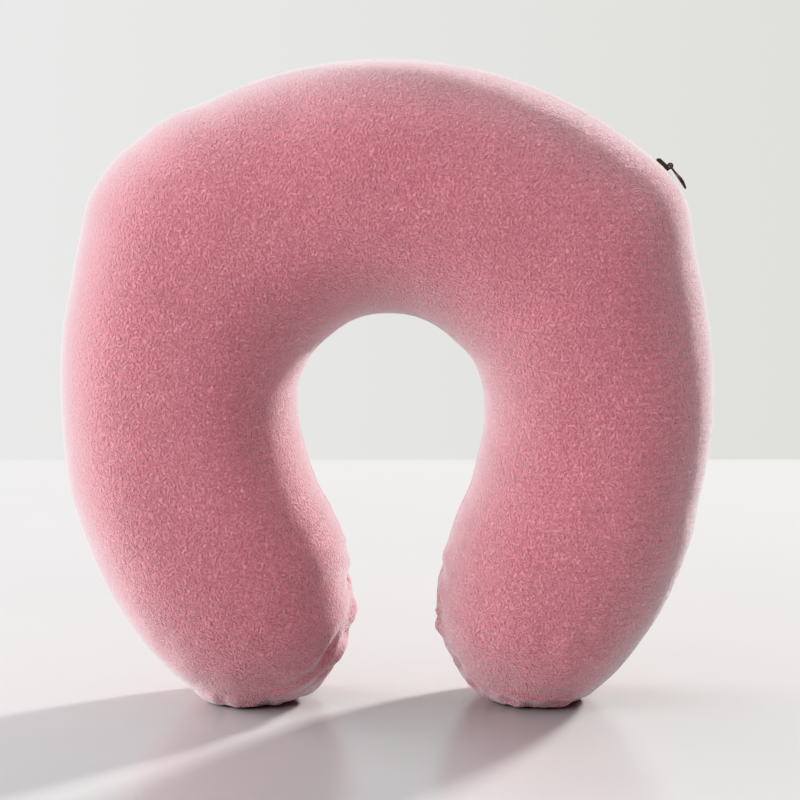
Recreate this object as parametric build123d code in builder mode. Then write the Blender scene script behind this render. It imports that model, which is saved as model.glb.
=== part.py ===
from build123d import *
import math
import os

# U-shaped travel neck pillow: moulded memory-foam core, sewn liner, removable
# knitted-fleece cover with a concealed zip along the top of the outer rim.
# Frame: the pillow stands on its two arm ends. +Z up, X across the two arms,
# Y through the thickness, front panel towards -Y. Origin on the floor between
# the arm ends, in the seam plane. Millimetres.

# ------------------------------------------------------------ driving sizes
HALF_THICK = 48.0        # half thickness of the padded ring
COVER_T = 1.5            # fleece cover thickness
LINER_T = 0.5            # inner liner thickness
SEAM_GAP = 0.05          # half gap between front and back panels at the seam

RIM_R = 184.6            # radius of the outer rim arc that carries the zip
RIM_Z = 111.2            # height of that arc's centre

ZIP_CLOSED = 42.6        # slider centre when closed, degrees clockwise from top
ZIP_TRAVEL = 65.0        # slider travel in degrees of rim arc
ZIP_SLOT_HALF = 0.5      # half width of the slit between the cover's lips
TAPE_HALF_GAP = 0.42     # half gap between the two tapes
TAPE_OUT = 6.0           # outer edge of each tape from the seam plane
TAPE_TOP, TAPE_BOTTOM = 1.95, 2.3      # depth of the tape below the rim arc
COIL_TOP, COIL_BOTTOM = 3.12, 4.3      # depth of the coil
COIL_OUT = 1.8
TOOTH_PITCH = 2.0

SLIDER_LEN = 7.8
PLATE_HALF_W = 3.0
POST_HALF_T = 0.22
HINGE_X, HINGE_H = 2.6, 3.1            # pull-tab pivot in the slider's own frame
BAIL_HOLE_R = 0.75
TAB_BAR_R = 0.67
TAB_DIP = 13.0           # rest dip of the tab below the slider's tangent
TAB_LEN = 12.8

# Stations along the right half of the U: outer rim point, inner rim point
# (x, z) and half thickness. The left half is the mirror image.
STATIONS = [
    ((0.0, 295.8), (0.0, 180.9), 48.0),
    ((24.1, 294.22), (7.0, 180.5), 48.0),
    ((47.78, 289.51), (13.4, 178.8), 48.0),
    ((70.64, 281.75), (19.5, 175.9), 48.0),
    ((92.3, 271.07), (24.9, 172.0), 48.0),
    ((112.38, 257.65), (29.9, 167.3), 48.0),
    ((130.53, 241.73), (34.6, 161.9), 48.0),
    ((140.3, 221.5), (38.0, 156.0), 48.0),
    ((144.9, 199.5), (40.4, 150.2), 48.0),
    ((148.7, 173.5), (42.2, 143.2), 48.0),
    ((150.1, 147.5), (42.7, 135.8), 48.0),
    ((148.7, 121.0), (41.8, 126.8), 48.0),
    ((144.3, 97.0), (39.0, 114.5), 48.0),
    ((137.6, 74.5), (34.9, 101.0), 48.0),
    ((128.4, 52.5), (29.8, 87.0), 48.0),
    ((117.0, 33.5), (25.0, 72.5), 47.3),
    ((104.0, 17.5), (20.9, 57.0), 45.0),
    ((93.6, 6.5), (20.4, 39.5), 40.5),
    ((86.0, -1.0), (25.5, 21.5), 33.0),
    ((79.5, -5.8), (35.5, 5.5), 23.5),
    ((70.0, -9.2), (49.0, -5.5), 11.5),
]
ALL_STATIONS = [((-o[0], o[1]), (-i[0], i[1]), b) for o, i, b in reversed(STATIONS[1:])] + STATIONS
# runs of stations lofted together, from the left arm end to the right one
RUNS = [(0, 6), (6, 12), (12, 28), (28, 34), (34, 40)]


def ring_form(inset, floor):
    """The padded ring, inset by so many mm, cut flat at height floor."""
    with BuildPart() as form:
        for first, last in RUNS:
            for outer, inner, half_t in ALL_STATIONS[first : last + 1]:
                dx, dz = outer[0] - inner[0], outer[1] - inner[1]
                width = math.hypot(dx, dz)
                dx, dz = dx / width, dz / width
                a = width / 2 - inset
                b = half_t - inset
                place = Plane(
                    origin=((outer[0] + inner[0]) / 2, 0, (outer[1] + inner[1]) / 2),
                    x_dir=(dx, 0, dz),
                    z_dir=(-dz, 0, dx),
                )
                # each half of the section is one quintic curve, bulged to reach a
                u, v = 0.78 * a, 0.70 * b
                w = (32 * a - 10 * u) / 20
                with BuildSketch(place):
                    with BuildLine():
                        Bezier((0, -b), (u, -b), (w, -v), (w, v), (u, b), (0, b))
                        Bezier((0, b), (-u, b), (-w, v), (-w, -v), (-u, -b), (0, -b))
                    make_face()
            loft()
        with Locations((0, 0, floor - 30)):
            Box(400, 200, 60, mode=Mode.SUBTRACT)
    return form.part


def rim_plane(phi):
    """Plane holding the rim arc's axis: x outward along the radius at phi, y along +Y."""
    p = math.radians(phi)
    return Plane(
        origin=(0, 0, RIM_Z),
        x_dir=(math.sin(p), 0, math.cos(p)),
        z_dir=(-math.cos(p), 0, math.sin(p)),
    )


RIM_AXIS = Axis((0, 0, RIM_Z), (0, 1, 0))


def rim_band(y0, y1, d0, d1, phi0, phi1):
    """A ring sector at depths d0..d1 below the rim arc, from y0 to y1."""
    with BuildPart() as band:
        with BuildSketch(rim_plane(phi0)):
            with Locations((RIM_R - (d0 + d1) / 2, (y0 + y1) / 2)):
                Rectangle(d1 - d0, y1 - y0)
        revolve(axis=RIM_AXIS, revolution_arc=phi1 - phi0)
    return band.part


def rim_sector(half_y, d0, d1, phi0, phi1):
    """A ring sector at depths d0..d1 below the rim arc, drawn in the seam plane and extruded both ways."""
    def at(depth, phi):
        p = math.radians(phi)
        return ((RIM_R - depth) * math.sin(p), RIM_Z + (RIM_R - depth) * math.cos(p))

    mid = (phi0 + phi1) / 2
    with BuildPart() as sector:
        with BuildSketch(Plane.XZ.offset(-half_y)):
            with BuildLine():
                ThreePointArc(at(d0, phi0), at(d0, mid), at(d0, phi1))
                Line(at(d0, phi1), at(d1, phi1))
                ThreePointArc(at(d1, phi1), at(d1, mid), at(d1, phi0))
                Line(at(d1, phi0), at(d0, phi0))
            make_face()
        extrude(amount=2 * half_y)
    return sector.part


# ------------------------------------------------------------ zip end angles
DEG = 180 / math.pi / RIM_R           # degrees of rim arc per millimetre
OPEN_AT = ZIP_CLOSED - ZIP_TRAVEL
COIL_START = OPEN_AT - 1.30
COIL_END = ZIP_CLOSED + 1.26
TAPE_START = COIL_START - 1.5
TAPE_END = ZIP_CLOSED + 2.4
SLOT_START = TAPE_START + 0.1
SLOT_END = TAPE_END - 0.1

# ------------------------------------------------------------ ring surfaces
cover_outside = ring_form(0.0, 0.0)
cover_inside = ring_form(COVER_T, COVER_T)
thread_outside = ring_form(COVER_T + 0.25, COVER_T + 0.25)
thread_inside = ring_form(COVER_T + 0.65, COVER_T + 0.65)
LINER_OFF = COVER_T + 1.7
liner_outside = ring_form(LINER_OFF, LINER_OFF)
liner_inside = ring_form(LINER_OFF + LINER_T, LINER_OFF + LINER_T)
stitch_outside = ring_form(LINER_OFF + LINER_T + 0.15, LINER_OFF + LINER_T + 0.15)
stitch_inside = ring_form(LINER_OFF + LINER_T + 0.45, LINER_OFF + LINER_T + 0.45)
FOAM_OFF = LINER_OFF + LINER_T + 0.6
foam_outside = ring_form(FOAM_OFF, FOAM_OFF)

# the slit between the cover's lips, the liner's opening under the zip, and the
# channel in the foam that clears the coils and the slider
slot = rim_band(-ZIP_SLOT_HALF, ZIP_SLOT_HALF, -3, 3, SLOT_START, SLOT_END)
liner_opening = rim_band(-4.2, 4.2, -3, 8, TAPE_START - 0.6, TAPE_END + 0.6)
foam_channel = rim_sector(4.6, 1.0, 7.1, TAPE_START - 0.9, TAPE_END + 0.9)

FRONT = Plane.XZ.offset(SEAM_GAP)        # faces -Y
BACK = Plane.XZ.offset(-SEAM_GAP)

# ------------------------------------------------------------ cover panels
with BuildPart() as cover_front_panel:
    add(cover_outside)
    add(cover_inside, mode=Mode.SUBTRACT)
    add(slot, mode=Mode.SUBTRACT)
    split(bisect_by=FRONT, keep=Keep.TOP)
cover_front_panel.part.label = "cover_front_panel"

with BuildPart() as cover_back_panel:
    add(cover_outside)
    add(cover_inside, mode=Mode.SUBTRACT)
    add(slot, mode=Mode.SUBTRACT)
    split(bisect_by=BACK, keep=Keep.BOTTOM)
cover_back_panel.part.label = "cover_back_panel"

# seam thread: a cord lying along the seam inside the cover, stopping at the zip
with BuildPart() as cover_seam_thread:
    add(thread_outside)
    add(thread_inside, mode=Mode.SUBTRACT)
    add(rim_band(-9, 9, -6, 9, TAPE_START - 0.3, TAPE_END + 0.3), mode=Mode.SUBTRACT)
    split(bisect_by=Plane.XZ.offset(-0.2), keep=Keep.TOP)
    split(bisect_by=Plane.XZ.offset(0.2), keep=Keep.BOTTOM)
cover_seam_thread.part.label = "cover_seam_thread"

# blank folded care tag caught in the back zip seam, lying inside the cover
with BuildPart() as care_label:
    add(thread_outside)
    add(thread_inside, mode=Mode.SUBTRACT)
    with BuildSketch(Plane.XZ.offset(-34)) as tag_area:
        with Locations((0, 270)):
            Rectangle(30, 80)
    extrude(amount=24.5, mode=Mode.INTERSECT)
care_label.part.label = "care_label"

# ------------------------------------------------------------ liner panels
with BuildPart() as liner_front_panel:
    add(liner_outside)
    add(liner_inside, mode=Mode.SUBTRACT)
    add(liner_opening, mode=Mode.SUBTRACT)
    split(bisect_by=FRONT, keep=Keep.TOP)
liner_front_panel.part.label = "liner_front_panel"

with BuildPart() as liner_back_panel:
    add(liner_outside)
    add(liner_inside, mode=Mode.SUBTRACT)
    add(liner_opening, mode=Mode.SUBTRACT)
    split(bisect_by=BACK, keep=Keep.BOTTOM)
liner_back_panel.part.label = "liner_back_panel"

with BuildPart() as liner_seam_thread:
    add(stitch_outside)
    add(stitch_inside, mode=Mode.SUBTRACT)
    add(rim_band(-9, 9, -6, 12, TAPE_START - 1.0, TAPE_END + 1.0), mode=Mode.SUBTRACT)
    split(bisect_by=Plane.XZ.offset(-0.15), keep=Keep.TOP)
    split(bisect_by=Plane.XZ.offset(0.15), keep=Keep.BOTTOM)
liner_seam_thread.part.label = "liner_seam_thread"

# ------------------------------------------------------------ foam core
with BuildPart() as foam_core:
    add(foam_outside)
    add(foam_channel, mode=Mode.SUBTRACT)
foam_core.part.label = "foam_core"

# ------------------------------------------------------------ zip tapes
with BuildPart() as zip_tape_front:
    add(rim_band(-TAPE_OUT, -TAPE_HALF_GAP, TAPE_TOP, TAPE_BOTTOM, TAPE_START, TAPE_END))
    add(rim_band(-0.85, -TAPE_HALF_GAP, TAPE_BOTTOM - 0.1, 3.1, COIL_START, COIL_END))
zip_tape_front.part.label = "zip_tape_front"

with BuildPart() as zip_tape_back:
    add(zip_tape_front.part)
    mirror(about=Plane.XZ, mode=Mode.REPLACE)
zip_tape_back.part.label = "zip_tape_back"

# zip coils: a cord along each tape fold, notched into teeth that face
# the other coil
TEETH = int((COIL_END - COIL_START) / DEG / TOOTH_PITCH)
TOOTH_PHI = [COIL_START + (k + 0.5) * (COIL_END - COIL_START) / TEETH for k in range(TEETH)]
with BuildPart() as zip_coil_front:
    with BuildSketch(rim_plane(COIL_START)):
        with Locations((RIM_R - (COIL_TOP + COIL_BOTTOM) / 2, -(TAPE_HALF_GAP + COIL_OUT) / 2)):
            Rectangle(COIL_BOTTOM - COIL_TOP, COIL_OUT - TAPE_HALF_GAP)
    revolve(axis=RIM_AXIS, revolution_arc=COIL_END - COIL_START)
    for phi in TOOTH_PHI:
        p = math.radians(phi)
        notch_at = Plane(
            origin=(
                (RIM_R - 3.7) * math.sin(p),
                -0.70,
                RIM_Z + (RIM_R - 3.7) * math.cos(p),
            ),
            x_dir=(math.cos(p), 0, -math.sin(p)),
            z_dir=(math.sin(p), 0, math.cos(p)),
        )
        with BuildSketch(notch_at.offset(-1)):
            Rectangle(0.9, 0.75)
    extrude(amount=2, mode=Mode.SUBTRACT)
zip_coil_front.part.label = "zip_coil_front"

with BuildPart() as zip_coil_back:
    add(zip_coil_front.part)
    mirror(about=Plane.XZ, mode=Mode.REPLACE)
zip_coil_back.part.label = "zip_coil_back"

# rows of short stitches on the underside of the tapes
with BuildPart() as zip_tape_stitches:
    STITCHES = 42
    for k in range(STITCHES):
        phi = TAPE_START + 1.0 + (TAPE_END - TAPE_START - 2.0) * k / (STITCHES - 1)
        p = math.radians(phi)
        r = RIM_R - 2.54
        for side in (-5.0, 5.0):
            run = Plane(
                origin=(r * math.sin(p), side, RIM_Z + r * math.cos(p)),
                x_dir=(0, 1, 0),
                z_dir=(math.cos(p), 0, -math.sin(p)),
            )
            with BuildSketch(run.offset(-1.5)):
                Circle(0.2)
    extrude(amount=3.0)
zip_tape_stitches.part.label = "zip_tape_stitches"

# end stops: one small block on each coil at the closed end, and one block
# across both coils at the open end
with BuildPart() as zip_top_stops:
    add(rim_band(-2.6, -TAPE_HALF_GAP, 2.6, 4.9, COIL_END + 0.06, COIL_END + 0.85))
    add(rim_band(TAPE_HALF_GAP, 2.6, 2.6, 4.9, COIL_END + 0.06, COIL_END + 0.85))
zip_top_stops.part.label = "zip_top_stops"

with BuildPart() as zip_bottom_stop:
    add(rim_band(-2.7, 2.7, 2.6, 4.9, COIL_START - 0.95, COIL_START - 0.06))
zip_bottom_stop.part.label = "zip_bottom_stop"

# thread bars closing the two ends of the slit
with BuildPart() as zip_bar_tacks:
    add(rim_band(-0.44, 0.44, 0.25, 1.4, SLOT_END - 0.6, SLOT_END - 0.08))
    add(rim_band(-0.44, 0.44, 0.25, 1.4, SLOT_START + 0.08, SLOT_START + 0.6))
zip_bar_tacks.part.label = "zip_bar_tacks"

# ------------------------------------------------------------ slider body
p = math.radians(ZIP_CLOSED)
RIM_POINT = (RIM_R * math.sin(p), 0, RIM_Z + RIM_R * math.cos(p))
TANGENT = (math.cos(p), 0, -math.sin(p))
OUTWARD = (math.sin(p), 0, math.cos(p))
slider_top = Plane(origin=RIM_POINT, x_dir=TANGENT, z_dir=OUTWARD)     # x along travel
slider_side = Plane(origin=RIM_POINT, x_dir=TANGENT, z_dir=(0, -1, 0))  # x along travel, y outward
slider_end = Plane(origin=RIM_POINT, x_dir=(0, 1, 0), z_dir=TANGENT)    # x along +Y, y outward

half = SLIDER_LEN / 2
with BuildPart() as zip_slider_body:
    # channel that wraps the coils, wider at the closed-end mouth
    with BuildSketch(slider_top.offset(-5.3)):
        with BuildLine():
            Polyline(
                (-half, -2.72), (-0.6, -2.72), (1.4, -PLATE_HALF_W), (half - 0.7, -PLATE_HALF_W),
                (half, -2.4), (half, 2.4), (half - 0.7, PLATE_HALF_W), (1.4, PLATE_HALF_W),
                (-0.6, 2.72), (-half, 2.72), close=True,
            )
        make_face()
    extrude(amount=2.8)
    fillet(zip_slider_body.edges().filter_by(Axis(RIM_POINT, OUTWARD)), 0.3)
    with BuildSketch(slider_end.offset(-half - 1)):
        with Locations((0, -3.725)):
            Rectangle(4.2, 1.55)
        with Locations((0, -2.9)):
            Rectangle(2.1, 1.2)
    extrude(amount=SLIDER_LEN + 2, mode=Mode.SUBTRACT)
    # post that passes between the tapes and the cover's lips
    with BuildSketch(slider_side.offset(-POST_HALF_T)):
        with Locations((2.0, -2.0)):
            Rectangle(2.6, 5.4)
    extrude(amount=2 * POST_HALF_T)
    # crown outside the cover
    with BuildSketch(slider_side.offset(-1.3)):
        with BuildLine():
            Polyline(
                (-4.0, 0.6), (1.25, 0.6), (1.25, 2.2), (0.9, 2.5), (-3.0, 2.5), (-4.0, 1.7), close=True
            )
        make_face()
    extrude(amount=2.6)
    # bail that carries the tab
    with BuildSketch(slider_side.offset(-0.45)):
        with Locations((HINGE_X, HINGE_H)):
            Circle(1.45)
        with BuildLine():
            Polyline((0.6, 0.6), (3.3, 0.6), (3.75, 2.4), (2.2, 4.3), (1.0, 2.4), close=True)
        make_face()
        with Locations((HINGE_X, HINGE_H)):
            Circle(BAIL_HOLE_R, mode=Mode.SUBTRACT)
    extrude(amount=0.9)
zip_slider_body.part.label = "zip_slider_body"

# ------------------------------------------------------------ pull tab
HINGE = tuple(RIM_POINT[k] + HINGE_X * TANGENT[k] + HINGE_H * OUTWARD[k] for k in range(3))
q = math.radians(ZIP_CLOSED + TAB_DIP)
ALONG = (math.cos(q), 0, -math.sin(q))
FACE_UP = (math.sin(q), 0, math.cos(q))
tab_top = Plane(origin=HINGE, x_dir=ALONG, z_dir=FACE_UP)
tab_side = Plane(origin=HINGE, x_dir=ALONG, z_dir=(0, -1, 0))

with BuildPart() as zip_pull_tab:
    # leaf outline seen from above
    with BuildSketch(tab_top.offset(-0.45)):
        with BuildLine():
            Spline(
                (1.0, 1.55), (4.5, 1.95), (8.2, 2.6), (11.2, 1.9), (TAB_LEN, 0),
                tangents=((1, 0), (0, -1)),
            )
            Spline(
                (TAB_LEN, 0), (11.2, -1.9), (8.2, -2.6), (4.5, -1.95), (1.0, -1.55),
                tangents=((0, -1), (-1, 0)),
            )
            Polyline((1.0, -1.55), (0, -1.55), (0, 1.55), (1.0, 1.55))
        make_face()
    extrude(amount=2.2)
    # flat underside, domed top
    with BuildSketch(tab_side.offset(-4)):
        with BuildLine():
            Polyline((TAB_LEN + 0.2, 0.0), (TAB_LEN - 0.4, -0.45), (-0.1, -0.45), (-0.1, 0.45), (2.2, 0.45))
            Spline(
                (2.2, 0.45), (5.0, 0.85), (8.2, 1.2), (11.0, 0.85), (TAB_LEN + 0.2, 0.0),
                tangents=((1, 0), (0.6, -1)),
            )
        make_face()
    extrude(amount=8, mode=Mode.INTERSECT)
    # window that clears the bail, closed at its end by the round pivot bar
    with BuildSketch(tab_top.offset(-2)):
        with Locations((0.6, 0)):
            Rectangle(2.5, 1.24)
    extrude(amount=4, mode=Mode.SUBTRACT)
    with BuildSketch(tab_side.offset(-1.55)):
        Circle(TAB_BAR_R)
    extrude(amount=3.1)
zip_pull_tab.part.label = "zip_pull_tab"

# ------------------------------------------------------------ write
os.makedirs("parts", exist_ok=True)
for piece in (
    foam_core, liner_front_panel, liner_back_panel, liner_seam_thread,
    cover_front_panel, cover_back_panel, cover_seam_thread, care_label,
    zip_tape_front, zip_tape_back, zip_coil_front, zip_coil_back,
    zip_tape_stitches, zip_top_stops, zip_bottom_stop, zip_bar_tacks,
    zip_slider_body, zip_pull_tab,
):
    export_step(piece.part, "parts/" + piece.part.label + ".step")
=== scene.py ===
import bpy
import math
import numpy as np
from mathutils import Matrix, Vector


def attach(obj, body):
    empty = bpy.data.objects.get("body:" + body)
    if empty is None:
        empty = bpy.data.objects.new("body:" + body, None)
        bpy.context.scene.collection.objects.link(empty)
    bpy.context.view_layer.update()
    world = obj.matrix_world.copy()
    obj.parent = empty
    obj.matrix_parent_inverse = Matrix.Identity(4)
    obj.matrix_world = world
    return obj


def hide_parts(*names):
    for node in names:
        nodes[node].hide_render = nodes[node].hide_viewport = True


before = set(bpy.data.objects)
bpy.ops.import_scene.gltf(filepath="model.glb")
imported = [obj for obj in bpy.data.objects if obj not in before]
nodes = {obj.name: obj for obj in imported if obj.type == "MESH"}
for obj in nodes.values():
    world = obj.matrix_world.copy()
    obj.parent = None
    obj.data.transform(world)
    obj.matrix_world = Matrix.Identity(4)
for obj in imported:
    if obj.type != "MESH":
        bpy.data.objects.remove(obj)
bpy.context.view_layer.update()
scene = bpy.context.scene

# ---------------------------------------------------------------- the ring
RIM_R, RIM_Z = 184.6, 111.2
TAPE_START, TAPE_END = -25.2, 45.0
STATIONS = [
    (0.0, 295.8, 0.0, 180.9, 48.0), (24.1, 294.22, 7.0, 180.5, 48.0), (47.78, 289.51, 13.4, 178.8, 48.0),
    (70.64, 281.75, 19.5, 175.9, 48.0), (92.3, 271.07, 24.9, 172.0, 48.0), (112.38, 257.65, 29.9, 167.3, 48.0),
    (130.53, 241.73, 34.6, 161.9, 48.0), (140.3, 221.5, 38.0, 156.0, 48.0), (144.9, 199.5, 40.4, 150.2, 48.0),
    (148.7, 173.5, 42.2, 143.2, 48.0), (150.1, 147.5, 42.7, 135.8, 48.0), (148.7, 121.0, 41.8, 126.8, 48.0),
    (144.3, 97.0, 39.0, 114.5, 48.0), (137.6, 74.5, 34.9, 101.0, 48.0), (128.4, 52.5, 29.8, 87.0, 48.0),
    (117.0, 33.5, 25.0, 72.5, 47.3), (104.0, 17.5, 20.9, 57.0, 45.0), (93.6, 6.5, 20.4, 39.5, 40.5),
    (86.0, -1.0, 25.5, 21.5, 33.0), (79.5, -5.8, 35.5, 5.5, 23.5), (70.0, -9.2, 49.0, -5.5, 11.5),
]
# how far each rim stands proud of the even shape (mm), by station from the top
LEFT_OUT = [(0, 0), (3.4, 0), (4.5, 2.9), (5.2, 2.2), (6.2, -0.4), (7.2, -2.2), (8, -1.2), (9, 0.2), (11, 0.6), (12, 1.7), (13, 1.4), (15, 1.4), (16, 1.5), (17, 0), (20, 0)]
RIGHT_OUT = [(0, 0), (6.1, 0), (7.5, -3.2), (8.6, -1.8), (9.6, -0.8), (11, 0), (12, 0.6), (13, 2.8), (15, 4.2), (16, 5.0), (17, 4.0), (18, 2), (20, 0)]
LEFT_IN = [(0, 0), (6, 0), (8, 0.3), (10, 1.5), (12, 2.0), (13, 2.5), (14, 4.2), (15, 5.5), (16, 3.2), (17, 4.8), (18, 5.5), (19, 4.5), (20, 0)]
RIGHT_IN = [(0, 0), (5, -1), (7, -2), (9, -1.2), (10, -1.2), (11, -1.8), (12, -2.2), (13, -3), (14, -2.2), (15, -2.5), (16, -3.2), (17, -2.8), (18, -4.2), (19, -3), (20, 0)]


def smooth(x):
    x = np.clip(x, 0, 1)
    return x * x * (3 - 2 * x)


def eased(x, pts):
    xs = np.array([p[0] for p in pts], float)
    vs = np.array([p[1] for p in pts], float)
    x = np.clip(x, xs[0], xs[-1])
    i = np.clip(np.searchsorted(xs, x, side="right") - 1, 0, len(xs) - 2)
    return vs[i] + (vs[i + 1] - vs[i]) * smooth((x - xs[i]) / (xs[i + 1] - xs[i]))


def natural_spline(y):
    n = len(y)
    m = np.eye(n)
    r = np.zeros_like(y)
    for i in range(1, n - 1):
        m[i, i - 1 : i + 2] = (1, 4, 1)
        r[i] = 6 * (y[i - 1] - 2 * y[i] + y[i + 1])
    k = np.linalg.solve(m, r)

    def f(x):
        i = np.clip(np.floor(x).astype(int), 0, n - 2)
        t = (x - i)[..., None]
        return y[i] * (1 - t) + y[i + 1] * t + ((1 - t) ** 3 - (1 - t)) * k[i] / 6 + (t**3 - t) * k[i + 1] / 6

    return f


half = np.array(STATIONS, float)
mirror = half[:0:-1].copy()
mirror[:, 0] *= -1
mirror[:, 2] *= -1
ring = natural_spline(np.vstack([mirror, half]))
MID = len(STATIONS) - 1
S_MAX = 2 * MID


def section(s):
    """Outer and inner rim points, centre, outward direction, half width and half thickness at s."""
    v = ring(s)
    o, i, b = v[:, 0:2].copy(), v[:, 2:4].copy(), v[:, 4]
    d = o - i
    d /= np.linalg.norm(d, axis=1)[:, None]
    k = np.abs(s - MID)
    right = s >= MID
    n_out = np.where(right, eased(k, RIGHT_OUT), eased(k, LEFT_OUT))
    n_in = np.where(right, eased(k, RIGHT_IN), eased(k, LEFT_IN))
    o += d * n_out[:, None]
    i -= d * n_in[:, None]
    return (o + i) / 2, d, np.linalg.norm(o - i, axis=1) / 2, b


def quarter(tau, a, b):
    """The section's quintic curve: x outward, y from the front crown (tau 0) to the rim (tau 0.5)."""
    t, q = tau, 1 - tau
    b0, b1, b2, b3, b4, b5 = q**5, 5 * t * q**4, 10 * t**2 * q**3, 10 * t**3 * q**2, 5 * t**4 * q, t**5
    u = 0.78 * a
    w = (32 * a - 10 * u) / 20
    return u * (b1 + b4) + w * (b2 + b3), b * (-b0 - b1 - 0.7 * b2 + 0.7 * b3 + b4 + b5)


def half_turn(v, a, b):
    """v 0 outer rim, 0.5 front crown, 1 inner rim: x outward, y (front is negative)."""
    tau = np.where(v <= 0.5, 0.5 - v, v - 0.5)
    x, y = quarter(tau, a, b)
    return np.where(v <= 0.5, x, -x), y


_v = np.linspace(0, 1, 4001)
_x, _y = half_turn(_v, 57.5, 48.0)
_len = np.concatenate([[0], np.cumsum(np.hypot(np.diff(_x), np.diff(_y)))])
HALF_LEN = _len[-1]


def v_of(dist):
    """Curve parameter at a distance (mm, on a full-size section) from the outer rim."""
    return np.interp(dist, _len, _v)


def surface(s, dist):
    """Periodic grid of points (mm): rows s, columns by distance from the outer rim, front then back."""
    c, d, a, b = section(s)
    v = v_of(dist)
    x, y = half_turn(v[None, :], a[:, None], b[:, None])
    front = np.stack([c[:, None, 0] + d[:, None, 0] * x, y, c[:, None, 1] + d[:, None, 1] * x], -1)
    back = front[:, -2:0:-1].copy()
    back[..., 1] *= -1
    return np.concatenate([front, back], 1)


def grid_normals(p):
    du = np.gradient(p, axis=0)
    dv = np.roll(p, -1, 1) - np.roll(p, 1, 1)
    n = np.cross(du, dv)
    n /= np.maximum(np.linalg.norm(n, axis=-1), 1e-9)[..., None]
    mid = len(p) // 2
    c = p[mid].mean(0)
    if np.sum((p[mid] - c) * n[mid]) < 0:
        n = -n
    return n


def mesh_object(name, verts, faces, smooth_shade=True):
    m = bpy.data.meshes.new(name)
    m.from_pydata([tuple(v) for v in verts.tolist()], [], faces)
    m.validate()
    if smooth_shade:
        m.polygons.foreach_set("use_smooth", [True] * len(m.polygons))
    m.update()
    o = bpy.data.objects.new(name, m)
    scene.collection.objects.link(o)
    return o


# ------------------------------------------------- smooth random fields
class Noise:
    """Seeded value noise on a lattice, smooth, -1..1."""

    def __init__(self, seed, cell):
        self.t = np.random.RandomState(seed).uniform(-1, 1, (32, 32, 32))
        self.cell = cell

    def __call__(self, p):
        q = p / self.cell + 100.0
        i = np.floor(q).astype(int)
        f = q - i
        f = f * f * (3 - 2 * f)
        out = 0
        for dx in (0, 1):
            for dy in (0, 1):
                for dz in (0, 1):
                    w = (
                        (f[..., 0] if dx else 1 - f[..., 0])
                        * (f[..., 1] if dy else 1 - f[..., 1])
                        * (f[..., 2] if dz else 1 - f[..., 2])
                    )
                    out = out + w * self.t[(i[..., 0] + dx) % 32, (i[..., 1] + dy) % 32, (i[..., 2] + dz) % 32]
        return out


# ------------------------------------------------- cloth simulation
def flatten(p, r=1.6):
    """Rests the ends of the arms on the floor."""
    z = p[..., 2]
    p[..., 2] = 0.5 * (z + np.sqrt(z * z + r * r)) - 0.02
    return p


C_S = np.linspace(0, S_MAX, 191)
C_N = 44                                        # columns per half turn
C_D = np.linspace(0, HALF_LEN, C_N)


def slack(s_grid, p):
    """Where the cover is loose: the inner ends of the arms and the fabric round the feet."""
    k = np.abs(s_grid - MID)[:, None]
    c, d, a, b = section(s_grid)
    rel = (p[..., 0] - c[:, None, 0]) * d[:, None, 0] + (p[..., 2] - c[:, None, 1]) * d[:, None, 1]
    inner = smooth((-rel / a[:, None] - 0.15) / 0.5)
    low = smooth((26 - p[..., 2]) / 14)
    return np.clip(smooth((k - 14.2) / 1.6) * inner + 0.75 * low * smooth((k - 15) / 1.5), 0, 1)


def simulate():
    rest = flatten(surface(C_S, C_D))
    ns, nq = rest.shape[:2]
    free = slack(C_S, rest)
    faces = [
        (i * nq + j, (i + 1) * nq + j, (i + 1) * nq + (j + 1) % nq, i * nq + (j + 1) % nq)
        for i in range(ns - 1)
        for j in range(nq)
    ]
    faces.append([j for j in range(nq)])
    faces.append([(ns - 1) * nq + j for j in range(nq - 1, -1, -1)])
    o = mesh_object("cloth_work", rest.reshape(-1, 3) / 1000, faces)
    pin = o.vertex_groups.new(name="pin")
    grow = o.vertex_groups.new(name="grow")
    w = free.reshape(-1)
    for level in range(11):
        f = level / 10
        ids = [int(x) for x in np.nonzero(np.round(w * 10) == level)[0]]
        if ids:
            pin.add(ids, 1.0 - 0.995 * f, "REPLACE")
            grow.add(ids, f, "REPLACE")
    mod = o.modifiers.new("cloth", "CLOTH")
    st = mod.settings
    st.quality = 6
    st.mass = 0.18
    st.tension_stiffness = 12
    st.compression_stiffness = 12
    st.shear_stiffness = 4
    st.bending_stiffness = 0.06
    st.air_damping = 4
    st.vertex_group_mass = "pin"
    st.pin_stiffness = 1
    st.use_pressure = True
    st.uniform_pressure_force = 1.6
    st.vertex_group_shrink = "grow"
    st.shrink_min = 0.0
    st.shrink_max = -0.085
    st.effector_weights.gravity = 0
    mod.collision_settings.use_collision = False
    mod.point_cache.frame_start = 1
    mod.point_cache.frame_end = 24
    for f in range(1, 19):
        scene.frame_set(f)
    ev = o.evaluated_get(bpy.context.evaluated_depsgraph_get())
    co = np.empty(len(ev.data.vertices) * 3)
    ev.data.vertices.foreach_get("co", co)
    scene.frame_set(1)
    moved = co.reshape(ns, nq, 3) * 1000 - rest
    bpy.data.objects.remove(o, do_unlink=True)
    size = np.linalg.norm(moved, axis=-1)
    cap = 4.2
    moved *= (cap * np.tanh(size / cap) / np.maximum(size, 1e-9))[..., None]
    return moved * smooth(free * 3)[..., None]


DRAPE = simulate()


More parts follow.
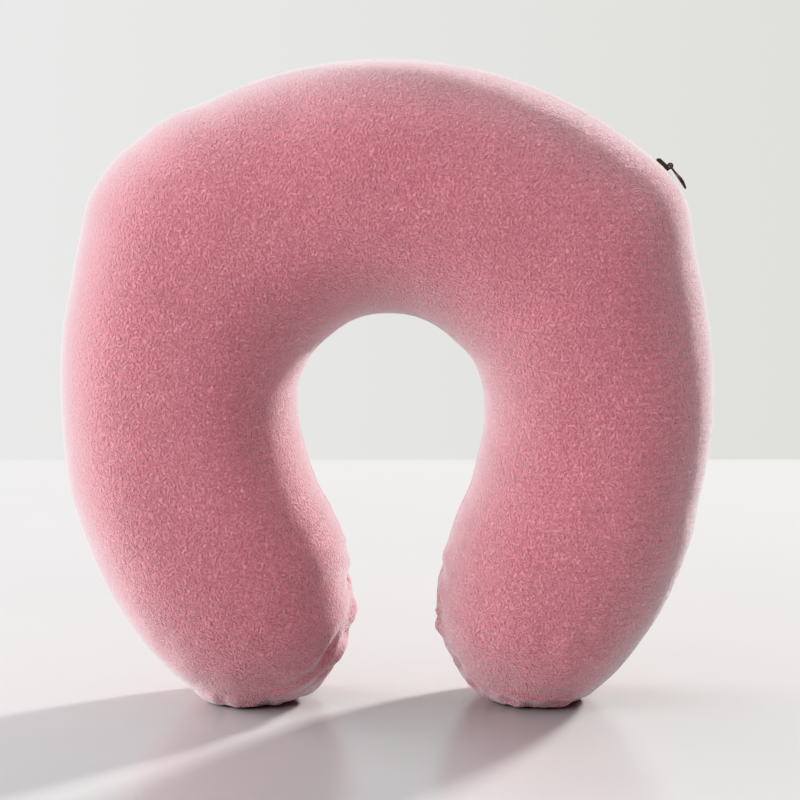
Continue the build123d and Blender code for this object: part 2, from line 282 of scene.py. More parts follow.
def catmull(a, x, axis, wrap):
    n = a.shape[axis]
    i = np.floor(x).astype(int)
    t = x - i
    out = 0
    w = (
        -0.5 * t + t * t - 0.5 * t**3,
        1 - 2.5 * t * t + 1.5 * t**3,
        0.5 * t + 2 * t * t - 1.5 * t**3,
        -0.5 * t * t + 0.5 * t**3,
    )
    for k in range(4):
        j = i + k - 1
        j = j % n if wrap else np.clip(j, 0, n - 1)
        shape = [1] * a.ndim
        shape[axis] = len(x)
        out = out + np.take(a, j, axis) * w[k].reshape(shape)
    return out


def drape(s, dist):
    """The simulated drape, carried to another grid."""
    d = catmull(DRAPE, s / S_MAX * (len(C_S) - 1), 0, False)
    front = dist / HALF_LEN * (C_N - 1)
    cols = np.concatenate([front, (2 * C_N - 2) - front[-2:0:-1]])
    return catmull(d, cols, 1, True)


# ------------------------------------------------- puckers and folds
# (x, y, z) of the middle, direction of the fold, length, width, height in mm
# (a positive height is a ridge, a negative one a crease)
FOLDS = [
    # left arm, inner end
    ((-17.0, -6, 41.5), (0.5, 0.7, 0.5), 16, 4.2, 2.3),
    ((-16.5, -10, 33.5), (0.7, 0.6, 0.2), 18, 2.3, -2.2),
    ((-19.5, -14, 25.0), (0.7, 0.6, 0.35), 20, 4.5, 2.4),
    ((-24.0, -16, 16.5), (0.8, 0.5, 0.15), 20, 2.4, -2.0),
    ((-19.0, -4, 56.0), (0.2, 0.9, 0.35), 18, 2.4, -1.7),
    ((-20.5, -4, 65.0), (0.15, 0.9, -0.2), 22, 3.6, 1.5),
    ((-24.0, -2, 75.0), (0.1, 1.0, 0.2), 20, 2.6, -1.4),
    ((-28.0, -26, 27.0), (0.55, 0.25, 0.8), 16, 2.6, -2.0),
    ((-33.0, -28, 12.0), (0.9, 0.2, 0.25), 18, 3.6, 1.9),
    ((-40.0, -30, 5.0), (1.0, 0.1, 0.2), 20, 2.2, -1.6),
    ((-50.0, -31, 6.5), (0.9, -0.1, 0.35), 12, 2.6, 1.4),
    ((-64.0, -31, 3.0), (1.0, 0.0, 0.1), 16, 2.0, -1.8),
    ((-80.0, -28, 5.0), (1.0, 0.3, 0.25), 14, 2.4, 1.0),
    # right arm, inner end
    ((26.5, -10, 50.0), (0.75, 0.3, 0.6), 13, 2.2, -2.4),
    ((27.0, -10, 45.0), (0.75, 0.3, 0.55), 13, 2.4, 2.0),
    ((28.0, -11, 40.5), (0.8, 0.3, 0.45), 14, 2.0, -2.2),
    ((24.8, -7, 35.5), (0.3, 0.9, 0.2), 18, 3.6, 2.2),
    ((27.0, -8, 27.5), (0.4, 0.8, 0.3), 18, 2.4, -1.8),
    ((26.5, -4, 60.0), (0.1, 1.0, 0.15), 20, 3.0, -1.5),
    ((28.0, -3, 68.0), (0.1, 1.0, -0.15), 20, 3.4, 1.1),
    ((34.0, -16, 19.0), (0.8, 0.3, -0.4), 20, 2.8, 1.5),
    ((37.0, -22, 11.0), (0.9, 0.2, -0.3), 18, 2.2, -1.6),
    ((52.0, -30, 4.0), (1.0, 0.0, 0.15), 16, 2.2, -1.7),
    ((66.0, -31, 6.0), (1.0, 0.0, -0.1), 18, 2.6, 1.3),
    ((82.0, -29, 3.5), (1.0, 0.25, 0.1), 16, 2.0, -1.5),
    # backs of both arm ends
    ((-24.0, 12, 30.0), (0.6, 0.7, -0.4), 20, 3.0, -2.0),
    ((-30.0, 22, 18.0), (0.9, -0.3, 0.3), 22, 3.4, 1.8),
    ((-58.0, 30, 4.0), (1.0, 0.0, 0.1), 20, 2.4, -1.6),
    ((27.0, 12, 42.0), (0.6, 0.6, 0.5), 18, 2.6, -2.0),
    ((33.0, 20, 22.0), (0.9, -0.3, -0.3), 22, 3.2, 1.6),
    ((62.0, 30, 5.0), (1.0, 0.0, -0.1), 20, 2.4, -1.5),
]
rough_noise, fine_noise, tiny_noise = Noise(3, 46.0), Noise(8, 9.0), Noise(21, 2.6)


def folds(p):
    h = np.zeros(p.shape[:-1])
    for mid, along, length, width, height in FOLDS:
        u = np.array(along) / np.linalg.norm(along)
        r = p - np.array(mid)
        t = r @ u
        bend = 0.14 * t * t / length
        side = np.linalg.norm(r - t[..., None] * u, axis=-1)
        side = np.abs(side - 0.0) + 0 * bend
        x = side / width
        shape = np.exp(-x * x) - 0.35 * np.exp(-((x - 1.7) ** 2) / 0.6)
        h += height * shape * np.exp(-((t / (0.55 * length)) ** 2))
    return h


def shaped(s, dist, fine=True):
    """The cover's outside surface on a grid, with its drape and folds, and its normals."""
    p = surface(s, dist) + drape(s, dist)
    n = grid_normals(p)
    k = np.abs(s - MID)[:, None]
    loose = smooth((k - 13.4) / 2.4)
    phi = np.degrees(np.arctan2(p[..., 0], p[..., 2] - RIM_Z))
    at_zip = smooth((phi + 29) / 3) * smooth((50 - phi) / 3) * smooth((14 - np.abs(p[..., 1])) / 6)
    at_zip *= smooth((np.hypot(p[..., 0], p[..., 2] - RIM_Z) - 165) / 10)
    h = 0.9 * rough_noise(p) * (1 - at_zip) * (1 - loose * 0.5)
    h = h + loose * (folds(p) + 0.35 * fine_noise(p))
    if fine:
        h = h + 0.07 * tiny_noise(p)
    p = p + n * h[..., None]
    # ruffled edge where the ends of the arms meet the floor
    ang = np.arctan2(p[..., 1], np.abs(p[..., 0]) - 63.0)
    ruffle = 0.9 * np.sin(9 * ang + 1.3 * np.sign(p[..., 0])) + 0.6 * np.sin(17 * ang + 2.0)
    p[..., 2] += ruffle * np.exp(-(((p[..., 2] - 2.5) / 5.0) ** 2)) * loose * 0.8
    p = flatten(p)
    return p, grid_normals(p)


def gap_at(p_mid):
    """Half gap of the outer seam: sewn shut, but open as a slit along the zip."""
    phi = np.degrees(np.arctan2(p_mid[:, 0], p_mid[:, 2] - RIM_Z))
    on_top = smooth((np.hypot(p_mid[:, 0], p_mid[:, 2] - RIM_Z) - 175) / 4)
    a = smooth((phi - TAPE_START - 0.05) / 0.5) * smooth((TAPE_END - 0.05 - phi) / 0.5)
    return 0.05 + 0.5 * a * on_top, a * on_top


# ------------------------------------------------- fleece cover panels
SEAM_STEPS = [0.0, 0.3, 0.7, 1.25, 2.0, 3.0, 4.3]
inner_part = np.linspace(6.0, HALF_LEN - 6.0, 84)
D_FINE = np.concatenate([SEAM_STEPS, inner_part, HALF_LEN - np.array(SEAM_STEPS[::-1])])
S_FINE = np.linspace(0, S_MAX, 411)


def cap_rows(p, end):
    """Rows closing the ring's end under the foot."""
    edge = p[end]
    c = edge.mean(0)
    c[1] = 0.0
    rows = [c + (edge - c) * f for f in (0.72, 0.42, 0.16, 0.0)]
    return rows[::-1] if end == 0 else rows


def with_caps(p, n):
    top, bottom = cap_rows(p, 0), cap_rows(p, -1)
    down = np.zeros_like(n[0])
    down[:, 2] = -1
    return (
        np.concatenate([np.stack(top), p, np.stack(bottom)]),
        np.concatenate([np.stack([down] * len(top)), n, np.stack([down] * len(bottom))]),
    )


def cover_panel(name, side):
    p, n = shaped(S_FINE, D_FINE)
    p, n = with_caps(p, n)
    nh = len(D_FINE)
    if side < 0:
        p, n = p[:, :nh].copy(), n[:, :nh].copy()
    else:
        cols = [0] + list(range(2 * nh - 3, nh - 1, -1)) + [nh - 1]
        p, n = p[:, cols].copy(), n[:, cols].copy()
    gap, zip_w = gap_at(p[:, 0])
    d_out, d_in = D_FINE, HALF_LEN - D_FINE
    # the seam pulls the fabric down into a soft groove, and the zip's lips stand a little proud
    dip = (0.75 * np.exp(-((d_out / 1.3) ** 2)))[None, :] * (1 - zip_w)[:, None]
    dip = dip + (0.12 * np.exp(-((d_out / 0.5) ** 2)) - 0.22 * np.exp(-(((d_out - 1.6) / 0.9) ** 2)))[None, :] * zip_w[:, None]
    dip = dip + (0.7 * np.exp(-((d_in / 1.3) ** 2)))[None, :]
    p = p - n * dip[..., None]
    p[..., 1] += side * gap[:, None] * np.clip(1 - d_out / 4.0, 0, 1)[None, :]
    p[..., 1] += side * 0.05 * np.clip(1 - d_in / 4.0, 0, 1)[None, :]
    inset = p - n * 1.15
    keep = (d_out > 1.6) & (d_in > 1.6)

    def rolled(col, extra):
        edge, nn = p[:, col], n[:, col]
        out = []
        for depth, out_y in ((0.45, 0.0), (0.95, 0.02), (1.45, 0.10)):
            q = edge - nn * depth
            q[:, 1] += side * out_y
            out.append(q)
        return out

    roll_a, roll_b = rolled(0, 0), rolled(-1, 0)
    cols = roll_a[::-1] + [p[:, j] for j in range(nh)] + roll_b + [inset[:, j] for j in range(nh - 1, -1, -1) if keep[j]]
    g = np.stack(cols, 1)
    rows, nc = g.shape[:2]
    faces = []
    for i in range(rows - 1):
        for j in range(nc):
            a, b = i * nc + j, i * nc + (j + 1) % nc
            c, d = (i + 1) * nc + (j + 1) % nc, (i + 1) * nc + j
            faces.append((a, b, c, d) if side > 0 else (a, d, c, b))
    o = mesh_object(name, g.reshape(-1, 3) / 1000, faces)
    import bmesh

    bm = bmesh.new()
    bm.from_mesh(o.data)
    bmesh.ops.remove_doubles(bm, verts=bm.verts, dist=2e-6)
    bmesh.ops.recalc_face_normals(bm, faces=bm.faces)
    bm.to_mesh(o.data)
    bm.free()
    o.data.polygons.foreach_set("use_smooth", [True] * len(o.data.polygons))
    return o


cover_front = cover_panel("cover_front", -1)
cover_back = cover_panel("cover_back", 1)


# ------------------------------------------------- liner and foam inside the cover
def channelled(s, dist, inset, deep, half_w):
    """The ring inset by so much, with the channel under the zip pressed in."""
    p, n = shaped(s, dist, fine=False)
    phi = np.degrees(np.arctan2(p[..., 0], p[..., 2] - RIM_Z))
    on_rim = smooth((np.hypot(p[..., 0], p[..., 2] - RIM_Z) - 172) / 6)
    y = np.abs(p[..., 1])
    ch = smooth((half_w + 1.6 - y) / 1.6) * smooth((phi - TAPE_START + 0.8) / 0.5) * smooth((TAPE_END + 0.8 - phi) / 0.5) * on_rim
    depth = inset + (deep - inset) * ch
    return p - n * depth[..., None]


def closed_ring(name, s, dist, inset, deep, half_w):
    p = channelled(s, dist, inset, deep, half_w)
    p[..., 2] = np.maximum(p[..., 2], inset)
    caps_a, caps_b = cap_rows(p, 0), cap_rows(p, -1)
    p = np.concatenate([np.stack(caps_a), p, np.stack(caps_b)])
    ns, nq = p.shape[:2]
    faces = [
        (i * nq + j, (i + 1) * nq + j, (i + 1) * nq + (j + 1) % nq, i * nq + (j + 1) % nq)
        for i in range(ns - 1)
        for j in range(nq)
    ]
    o = mesh_object(name, p.reshape(-1, 3) / 1000, faces)
    import bmesh

    bm = bmesh.new()
    bm.from_mesh(o.data)
    bmesh.ops.remove_doubles(bm, verts=bm.verts, dist=2e-6)
    bmesh.ops.recalc_face_normals(bm, faces=bm.faces)
    bm.to_mesh(o.data)
    bm.free()
    o.data.polygons.foreach_set("use_smooth", [True] * len(o.data.polygons))
    return o


D_CHANNEL = [0.0, 1.6, 3.2, 4.2, 5.0, 5.8, 6.8, 8.5]
D_LINER = np.concatenate([D_CHANNEL, np.linspace(12, HALF_LEN, 44)])
S_LINER = np.linspace(0, S_MAX, 241)
liner = closed_ring("liner", S_LINER, D_LINER, 3.3, 6.6, 3.6)
foam = closed_ring("foam_core_ring", np.linspace(0, S_MAX, 201), D_LINER, 4.4, 7.6, 4.0)


def tube(name, path, radius, sides=8):
    """A thread lying along a path (mm)."""
    path = np.array(path)
    t = np.gradient(path, axis=0)
    t /= np.linalg.norm(t, axis=1)[:, None]
    y = np.tile(np.array([0.0, 1.0, 0.0]), (len(path), 1))
    x = np.cross(t, y)
    x /= np.linalg.norm(x, axis=1)[:, None]
    y = np.cross(x, t)
    pts = []
    for k in range(sides):
        a = 2 * math.pi * k / sides
        pts.append(path + radius * (math.cos(a) * x + math.sin(a) * y))
    g = np.stack(pts, 1)
    n = len(path)
    faces = [(i * sides + k, i * sides + (k + 1) % sides, (i + 1) * sides + (k + 1) % sides, (i + 1) * sides + k) for i in range(n - 1) for k in range(sides)]
    faces += [list(range(sides))[::-1], [(n - 1) * sides + k for k in range(sides)]]
    return mesh_object(name, g.reshape(-1, 3) / 1000, faces)


def seam_path(depth, skip_zip):
    """The seam line all round the cover at some depth: outer rim, then inner rim."""
    s = np.linspace(0.4, S_MAX - 0.4, 500)
    p, n = shaped(s, D_LINER, fine=False)
    outer = p[:, 0] - n[:, 0] * depth
    inner = p[:, len(D_LINER) - 1] - n[:, len(D_LINER) - 1] * depth
    outer[:, 1] = inner[:, 1] = 0
    outer[:, 2] = np.maximum(outer[:, 2], depth)
    inner[:, 2] = np.maximum(inner[:, 2], depth)
    phi = np.degrees(np.arctan2(outer[:, 0], outer[:, 2] - RIM_Z))
    zip_part = (phi > TAPE_START - 0.5) & (phi < TAPE_END + 0.5) & (outer[:, 2] > 200)
    if not skip_zip:
        return [np.concatenate([outer, inner[::-1]])]
    first = int(np.argmax(zip_part))
    last = len(s) - int(np.argmax(zip_part[::-1]))
    return [np.concatenate([outer[:first][::-1], inner, outer[last:][::-1]])]


seam_thread = tube("cover_seam_cord", seam_path(2.15, True)[0], 0.22)
# ---------------------------------------------------------------- materials
MM = 1000.0


class Mat:
    """Small helper for node materials."""

    def __init__(self, name):
        self.m = bpy.data.materials.new(name)
        self.m.use_nodes = True
        self.t = self.m.node_tree
        self.t.nodes.clear()
        self.out = self.add("ShaderNodeOutputMaterial")
        self.bsdf = self.add("ShaderNodeBsdfPrincipled")
        self.t.links.new(self.bsdf.outputs[0], self.out.inputs["Surface"])
        self.co = self.add("ShaderNodeTexCoord").outputs["Object"]

    def add(self, kind, **kw):
        n = self.t.nodes.new(kind)
        for k, v in kw.items():
            setattr(n, k, v)
        return n

    def link(self, a, b):
        self.t.links.new(a, b)

    def set(self, **kw):
        names = {
            "color": "Base Color", "rough": "Roughness", "metal": "Metallic", "spec": "Specular IOR Level",
            "sheen": "Sheen Weight", "sheen_rough": "Sheen Roughness", "sheen_tint": "Sheen Tint",
            "coat": "Coat Weight", "coat_rough": "Coat Roughness", "sss": "Subsurface Weight",
        }
        for k, v in kw.items():
            s = self.bsdf.inputs[names[k]]
            if hasattr(v, "links") or isinstance(v, bpy.types.NodeSocket):
                self.link(v, s)
            elif isinstance(v, (tuple, list)):
                s.default_value = tuple(v) + (1.0,) * (4 - len(v))
            else:
                s.default_value = v

    def stretched(self, scale):
        mp = self.add("ShaderNodeMapping")
        mp.inputs["Scale"].default_value = scale
        self.link(self.co, mp.inputs["Vector"])
        return mp.outputs[0]

    def noise(self, scale, detail=2.0, rough=0.5, distortion=0.0, vec=None):
        n = self.add("ShaderNodeTexNoise")
        n.inputs["Scale"].default_value = scale
        n.inputs["Detail"].default_value = detail
        n.inputs["Roughness"].default_value = rough
        n.inputs["Distortion"].default_value = distortion
        self.link(vec if vec is not None else self.co, n.inputs["Vector"])
        return n.outputs["Fac"]

    def voronoi(self, scale, feature="F1", smoothness=None, vec=None, randomness=1.0):
        n = self.add("ShaderNodeTexVoronoi", feature=feature)
        n.inputs["Scale"].default_value = scale
        n.inputs["Randomness"].default_value = randomness
        self.link(vec if vec is not None else self.co, n.inputs["Vector"])
        return n.outputs["Distance"]

    def wave(self, scale, distortion=0.0, detail=2.0, dscale=1.0, direction="Z", vec=None, profile="SIN"):
        n = self.add("ShaderNodeTexWave", wave_type="BANDS", bands_direction=direction, wave_profile=profile)
        n.inputs["Scale"].default_value = scale
        n.inputs["Distortion"].default_value = distortion
        n.inputs["Detail"].default_value = detail
        n.inputs["Detail Scale"].default_value = dscale
        self.link(vec if vec is not None else self.co, n.inputs["Vector"])
        return n.outputs["Fac"]

    def ramp(self, fac, stops, mode="LINEAR"):
        n = self.add("ShaderNodeValToRGB")
        n.color_ramp.interpolation = mode
        e = n.color_ramp.elements
        while len(e) < len(stops):
            e.new(0.5)
        for k, (pos, col) in enumerate(stops):
            e[k].position = pos
            e[k].color = tuple(col) + (1.0,) * (4 - len(col)) if isinstance(col, (tuple, list)) else (col, col, col, 1)
        self.link(fac, n.inputs["Fac"])
        return n.outputs["Color"]

    def mix(self, fac, a, b, blend="MIX"):
        n = self.add("ShaderNodeMix", data_type="RGBA", blend_type=blend)
        for sock, v in ((n.inputs[0], fac), (n.inputs[6], a), (n.inputs[7], b)):
            if isinstance(v, bpy.types.NodeSocket):
                self.link(v, sock)
            elif isinstance(v, (tuple, list)):
                sock.default_value = tuple(v) + (1.0,) * (4 - len(v))
            else:
                sock.default_value = v
        return n.outputs[2]

    def math(self, op, a, b=0.0, c=None, clamp=False):
        n = self.add("ShaderNodeMath", operation=op, use_clamp=clamp)
        for sock, v in zip(n.inputs, (a, b, c)):
            if v is None:
                continue
            if isinstance(v, bpy.types.NodeSocket):
                self.link(v, sock)
            else:
                sock.default_value = v
        return n.outputs[0]

    def xyz(self):
        n = self.add("ShaderNodeSeparateXYZ")
        self.link(self.co, n.inputs[0])
        return n.outputs

    def facing(self, blend=0.5):
        n = self.add("ShaderNodeLayerWeight")
        n.inputs["Blend"].default_value = blend
        return n.outputs["Facing"]

    def bump(self, height, dist, strength=1.0, normal=None):
        n = self.add("ShaderNodeBump")
        n.inputs["Strength"].default_value = strength
        n.inputs["Distance"].default_value = dist
        self.link(height, n.inputs["Height"])
        if normal is not None:
            self.link(normal, n.inputs["Normal"])
        self.link(n.outputs[0], self.bsdf.inputs["Normal"])
        return n.outputs[0]


def fleece():
    m = Mat("pink_fleece")
    # worm-like pile: bent short strokes about 1.5 mm long, over a finer grain
    warp = m.add("ShaderNodeVectorMath", operation="ADD")
    wn = m.add("ShaderNodeTexNoise")
    wn.inputs["Scale"].default_value = 420
    wn.inputs["Detail"].default_value = 1
    m.link(m.co, wn.inputs["Vector"])
    ws = m.add("ShaderNodeVectorMath", operation="SCALE")
    ws.inputs["Scale"].default_value = 0.0013
    m.link(wn.outputs["Color"], ws.inputs[0])
    m.link(m.co, warp.inputs[0])
    m.link(ws.outputs[0], warp.inputs[1])
    w = warp.outputs[0]
    worms = m.noise(1060, 2.0, 0.55, 0.6, w)
    pebbles = m.voronoi(760, "SMOOTH_F1", vec=w)
    hairs = m.noise(2100, 3.0, 0.6)
    patches = m.noise(34, 3.0, 0.55)
    broad = m.noise(9, 2.0, 0.5)
    x, y, z = m.xyz()[0:3]
    knit = m.wave(88, 2.2, 2.0, 9.0, "Z")
    side = m.math("MULTIPLY", m.ramp(m.math("ADD", m.math("MULTIPLY", x, 9.0), -0.35, clamp=True), [(0, 0.0), (1, 1.0)]), m.ramp(patches, [(0.3, 0.45), (0.7, 1.0)]))
    knit_w = m.math("ADD", m.math("MULTIPLY", side, 0.34), 0.06)
    tufts = m.ramp(worms, [(0.32, 0.0), (0.60, 1.0)])
    pile = m.math("SUBTRACT", m.math("MULTIPLY", tufts, 0.85), m.math("MULTIPLY", pebbles, 0.7))
    height = m.math("ADD", m.math("ADD", pile, m.math("MULTIPLY", hairs, 0.30)), m.math("MULTIPLY", knit, knit_w))
    # partly the pile's own tone, partly painted shade and highlight: the colour follows the worm noise that also
    # raises the tufts, darker in the hollows between tufts and lighter on their tips
    light, mid, deep = (0.900, 0.365, 0.425), (0.850, 0.305, 0.362), (0.765, 0.240, 0.295)
    col = m.ramp(worms, [(0.34, deep), (0.47, mid), (0.62, light)])
    tone = m.ramp(patches, [(0.25, (0.94, 0.93, 0.93)), (0.75, (1.05, 1.05, 1.05))])
    col = m.mix(0.8, col, tone, "MULTIPLY")
    tone2 = m.ramp(broad, [(0.3, (0.96, 0.95, 0.96)), (0.7, (1.03, 1.03, 1.03))])
    col = m.mix(1.0, col, tone2, "MULTIPLY")
    knit_tone = m.ramp(knit, [(0.15, (0.86, 0.84, 0.85)), (0.6, (1.0, 1.0, 1.0))])
    col = m.mix(m.math("MULTIPLY", knit_w, 1.4), col, m.mix(1.0, col, knit_tone, "MULTIPLY"))
    # painted sheen: the base colour is mixed towards near-white at grazing view angles, standing in for the light that
    # the pile's tips catch
    edge = m.math("POWER", m.facing(0.5), 2.5)
    col = m.mix(edge, col, (1.0, 0.95, 0.965))
    m.set(color=col, rough=0.92, spec=0.08, sheen=0.95, sheen_rough=0.36, sheen_tint=(1.0, 0.97, 0.98))
    m.bump(height, 0.00135, 0.85)
    return m.m


def liner_cloth():
    m = Mat("liner_cloth")
    a, b = m.wave(420, 0.6, 1, 4, "Z"), m.wave(420, 0.6, 1, 4, "X")
    h = m.math("MULTIPLY", a, b)
    col = m.ramp(h, [(0.0, (0.62, 0.60, 0.58)), (0.5, (0.80, 0.79, 0.77))])
    m.set(color=col, rough=0.85, spec=0.2, sheen=0.15)
    m.bump(h, 0.0003, 0.6)
    return m.m


def foam_mat():
    m = Mat("foam_cells")
    v = m.voronoi(900)
    n = m.noise(60, 3)
    col = m.mix(0.6, m.ramp(v, [(0.0, (0.78, 0.70, 0.50)), (0.6, (0.90, 0.84, 0.66))]), m.ramp(n, [(0.3, (0.85, 0.8, 0.7)), (0.7, (1, 1, 1))]), "MULTIPLY")
    m.set(color=col, rough=0.95, spec=0.15)
    m.bump(v, 0.0006, 0.8)
    return m.m


def thread_mat(name, tint):
    m = Mat(name)
    tw = m.wave(900, 1.5, 1, 3, "DIAGONAL")
    dark = tuple(c * 0.62 for c in tint)
    m.set(color=m.ramp(tw, [(0.1, dark), (0.7, tint)]), rough=0.6, spec=0.35, sheen=0.2)
    m.bump(tw, 0.00015, 0.7)
    return m.m


def label_mat():
    m = Mat("label_satin")
    w = m.wave(700, 0.3, 1, 2, "X")
    m.set(color=m.ramp(w, [(0, (0.80, 0.78, 0.76)), (1, (0.9, 0.89, 0.87))]), rough=0.45, spec=0.4)
    m.bump(w, 0.0001, 0.5)
    return m.m


def tape_mat():
    m = Mat("zip_tape_twill")
    a = m.wave(520, 0.4, 1, 3, "DIAGONAL")
    b = m.noise(900, 2)
    col = m.ramp(m.math("ADD", a, m.math("MULTIPLY", b, 0.4)), [(0.1, (0.17, 0.045, 0.06)), (0.8, (0.36, 0.13, 0.16))])
    m.set(color=col, rough=0.8, spec=0.25, sheen=0.2)
    m.bump(a, 0.0002, 0.6)
    return m.m


def coil_mat():
    m = Mat("zip_coil_nylon")
    n = m.noise(500, 2)
    m.set(color=m.ramp(n, [(0.3, (0.10, 0.03, 0.035)), (0.7, (0.22, 0.08, 0.09))]), rough=0.38, spec=0.5)
    m.bump(n, 0.0001, 0.4)
    return m.m


def slider_metal():
    m = Mat("slider_gunmetal")
    n = m.noise(900, 4, 0.6)
    s = m.noise(260, 3, 0.6)
    geo = m.add("ShaderNodeNewGeometry")
    wear = m.ramp(geo.outputs["Pointiness"], [(0.50, 0.0), (0.56, 1.0)])
    base = m.ramp(s, [(0.3, (0.010, 0.007, 0.006)), (0.7, (0.026, 0.017, 0.013))])
    col = m.mix(m.math("MULTIPLY", wear, 0.35), base, (0.16, 0.12, 0.09))
    m.set(color=col, metal=0.35, rough=m.math("ADD", m.math("MULTIPLY", n, 0.25), 0.25), coat=0.25, coat_rough=0.3)
    m.bump(n, 0.00006, 0.5)
    return m.m


def tab_enamel():
    m = Mat("pull_tab_enamel")
    n = m.noise(700, 3, 0.6)
    s = m.noise(140, 2, 0.5)
    geo = m.add("ShaderNodeNewGeometry")
    wear = m.ramp(geo.outputs["Pointiness"], [(0.52, 0.0), (0.58, 1.0)])
    base = m.ramp(s, [(0.3, (0.030, 0.006, 0.007)), (0.7, (0.085, 0.014, 0.016))])
    col = m.mix(m.math("MULTIPLY", wear, 0.5), base, (0.20, 0.08, 0.07))
    m.set(color=col, metal=0.1, rough=m.math("ADD", m.math("MULTIPLY", n, 0.2), 0.16), coat=0.7, coat_rough=0.12)
    m.bump(n, 0.00004, 0.4)
    return m.m


FLEECE, LINER, FOAM = fleece(), liner_cloth(), foam_mat()
THREAD, TACK = thread_mat("pink_thread", (0.62, 0.22, 0.28)), thread_mat("tack_thread", (0.42, 0.13, 0.17))
LABEL, TAPE, COIL, METAL, ENAMEL = label_mat(), tape_mat(), coil_mat(), slider_metal(), tab_enamel()


def dress(o, mat):
    o.data.materials.clear()
    o.data.materials.append(mat)
    return o


def node_mat(name, mat):
    o = nodes[name]
    if not len(o.data.materials):
        o.data.materials.append(mat)
    for s in o.material_slots:
        s.material = mat


for name, mat in {
    "care_label": LABEL, "liner_seam_thread": THREAD, "zip_tape_front": TAPE, "zip_tape_back": TAPE,
    "zip_coil_front": COIL, "zip_coil_back": COIL, "zip_tape_stitches": TACK, "zip_top_stops": METAL,
    "zip_bottom_stop": METAL, "zip_bar_tacks": TACK, "zip_slider_body": METAL, "zip_pull_tab": ENAMEL,
    "foam_core": FOAM, "liner_front_panel": LINER, "liner_back_panel": LINER, "cover_seam_thread": THREAD,
    "cover_front_panel": FLEECE, "cover_back_panel": FLEECE,
}.items():
    node_mat(name, mat)

for o, mat, slot_name, reps in (
    (cover_front, FLEECE, "cover_fleece", ("cover_front_panel",)),
    (cover_back, FLEECE, "cover_fleece", ("cover_back_panel",)),
    (liner, LINER, "liner", ("liner_front_panel", "liner_back_panel", "liner_seam_thread")),
    (foam, FOAM, "foam", ("foam_core",)),
    (seam_thread, THREAD, "thread", ("cover_seam_thread",)),
):
    dress(o, mat)
    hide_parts(*reps)
    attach(o, "pillow")

# ---------------------------------------------------------------- stage, light, camera
CAM_EL, CAM_AZ, CAM_D, LENS = 8.0, 0.0, 1.20, 117.0
TARGET = Vector((0.0058, 0.0, 0.1398))
TABLE_BACK = 0.68
BACK_LEFT, BACK_RIGHT = (0.885, 0.885, 0.882), (0.792, 0.800, 0.764)


def stage_floor():
    m = bpy.data.meshes.new("floor")
    m.from_pydata([(-4, -4, 0), (4, -4, 0), (4, 4, 0), (-4, 4, 0)], [], [(0, 1, 2, 3)])
    o = bpy.data.objects.new("floor", m)
    scene.collection.objects.link(o)
    f = Mat("pale_table")
    n = f.noise(6, 3)
    col = f.ramp(n, [(0.3, (0.372, 0.370, 0.370)), (0.7, (0.395, 0.393, 0.392))])
    f.set(color=col, rough=f.math("ADD", f.math("MULTIPLY", n, 0.05), 0.18), spec=0.45)
    # past the table's far edge the floor takes the backdrop's own tone
    win = f.add("ShaderNodeSeparateXYZ")
    tc = f.add("ShaderNodeTexCoord")
    f.link(tc.outputs["Window"], win.inputs[0])
    tone = f.ramp(win.outputs["X"], [(0.0, BACK_LEFT), (1.0, BACK_RIGHT)])
    glow = f.add("ShaderNodeEmission")
    f.link(tone, glow.inputs["Color"])
    lp = f.add("ShaderNodeLightPath")
    f.link(f.math("MAXIMUM", lp.outputs["Is Camera Ray"], lp.outputs["Is Glossy Ray"]), glow.inputs["Strength"])
    far = f.ramp(f.math("ADD", f.math("MULTIPLY", f.xyz()[1], 12.0), 0.5 - 12.0 * TABLE_BACK, clamp=True), [(0.42, 0.0), (0.58, 1.0)])
    both = f.add("ShaderNodeMixShader")
    f.link(far, both.inputs[0])
    f.link(f.bsdf.outputs[0], both.inputs[1])
    f.link(glow.outputs[0], both.inputs[2])
    f.link(both.outputs[0], f.out.inputs["Surface"])
    m.materials.append(f.m)
    return f


floor_mat = stage_floor()

world = bpy.data.worlds.new("studio")
scene.world = world
world.use_nodes = True
wt = world.node_tree
wt.nodes.clear()
w_out = wt.nodes.new("ShaderNodeOutputWorld")
w_mix = wt.nodes.new("ShaderNodeMixShader")
w_cam = wt.nodes.new("ShaderNodeBackground")
w_amb = wt.nodes.new("ShaderNodeBackground")
w_lp = wt.nodes.new("ShaderNodeLightPath")
w_tc = wt.nodes.new("ShaderNodeTexCoord")
w_sep = wt.nodes.new("ShaderNodeSeparateXYZ")
w_ramp = wt.nodes.new("ShaderNodeValToRGB")
w_ramp.color_ramp.elements[0].color = BACK_LEFT + (1,)
w_ramp.color_ramp.elements[1].color = BACK_RIGHT + (1,)
wt.links.new(w_tc.outputs["Window"], w_sep.inputs[0])
wt.links.new(w_sep.outputs["X"], w_ramp.inputs[0])
wt.links.new(w_ramp.outputs[0], w_cam.inputs[0])
w_amb.inputs[0].default_value = (0.92, 0.94, 0.98, 1)
w_amb.inputs[1].default_value = 0.43
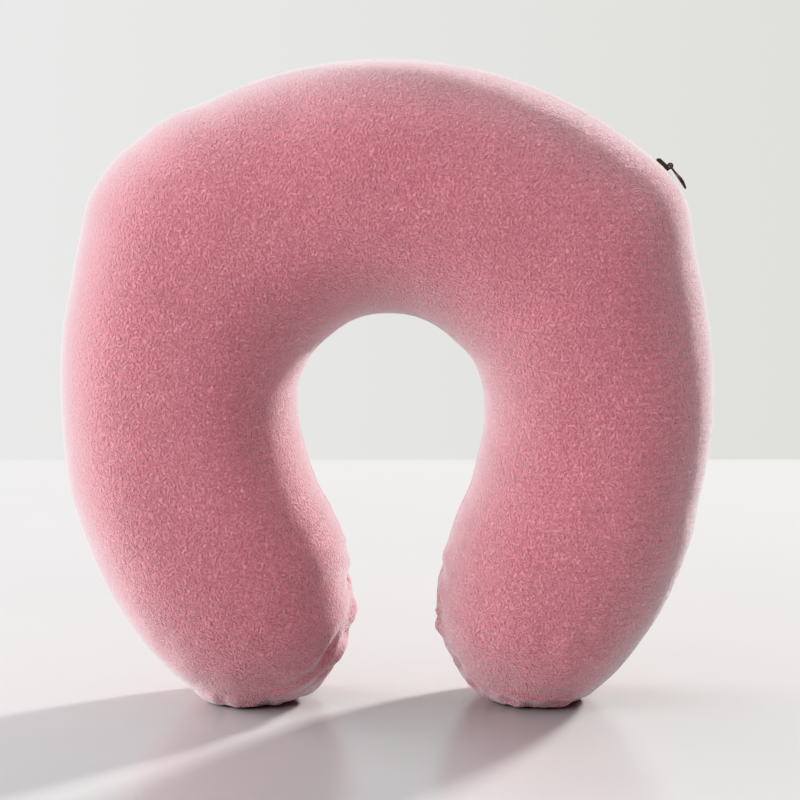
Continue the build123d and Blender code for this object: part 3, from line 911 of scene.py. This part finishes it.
w_or = wt.nodes.new("ShaderNodeMath")
w_or.operation = "MAXIMUM"
wt.links.new(w_lp.outputs["Is Camera Ray"], w_or.inputs[0])
wt.links.new(w_lp.outputs["Is Glossy Ray"], w_or.inputs[1])
wt.links.new(w_or.outputs[0], w_mix.inputs[0])
wt.links.new(w_amb.outputs[0], w_mix.inputs[1])
wt.links.new(w_cam.outputs[0], w_mix.inputs[2])
wt.links.new(w_mix.outputs[0], w_out.inputs[0])


def area(name, loc, aim, size, power, color=(1, 1, 1)):
    li = bpy.data.lights.new(name, "AREA")
    li.shape = "RECTANGLE"
    li.size, li.size_y = size
    li.energy = power
    li.color = color
    o = bpy.data.objects.new(name, li)
    o.location = loc
    o.rotation_euler = (Vector(aim) - Vector(loc)).to_track_quat("-Z", "Y").to_euler()
    scene.collection.objects.link(o)
    return o


area("key", (2.1, 2.4, 1.40), (0, 0, 0.12), (0.40, 0.40), 350, (1.0, 0.985, 0.965))
area("left_soft", (-2.3, 1.0, 0.55), (0, 0, 0.16), (1.5, 0.9), 130, (1.0, 0.965, 0.985))
area("left_front", (-2.7, -0.9, 0.9), (0, 0, 0.14), (1.6, 1.6), 70, (1.0, 0.99, 1.0))
area("front_fill", (-1.0, -2.6, 1.5), (0, -0.2, 0.05), (2.2, 1.5), 15, (1, 1, 1))
area("top_soft", (-0.4, -0.2, 2.3), (0, 0, 0), (2.2, 2.2), 20, (1, 1, 1))

cam_data = bpy.data.cameras.new("camera")
cam_data.lens = LENS
cam_data.sensor_width = 36
cam = bpy.data.objects.new("camera", cam_data)
el, az = math.radians(CAM_EL), math.radians(CAM_AZ)
away = Vector((-math.sin(az) * math.cos(el), -math.cos(az) * math.cos(el), math.sin(el)))
cam.location = TARGET + away * CAM_D
cam.rotation_euler = (-away).to_track_quat("-Z", "Y").to_euler()
scene.collection.objects.link(cam)
scene.camera = cam
scene.view_settings.view_transform = "Khronos PBR Neutral"
scene.view_settings.look = "None"
scene.view_settings.exposure = 0
scene.view_settings.gamma = 1
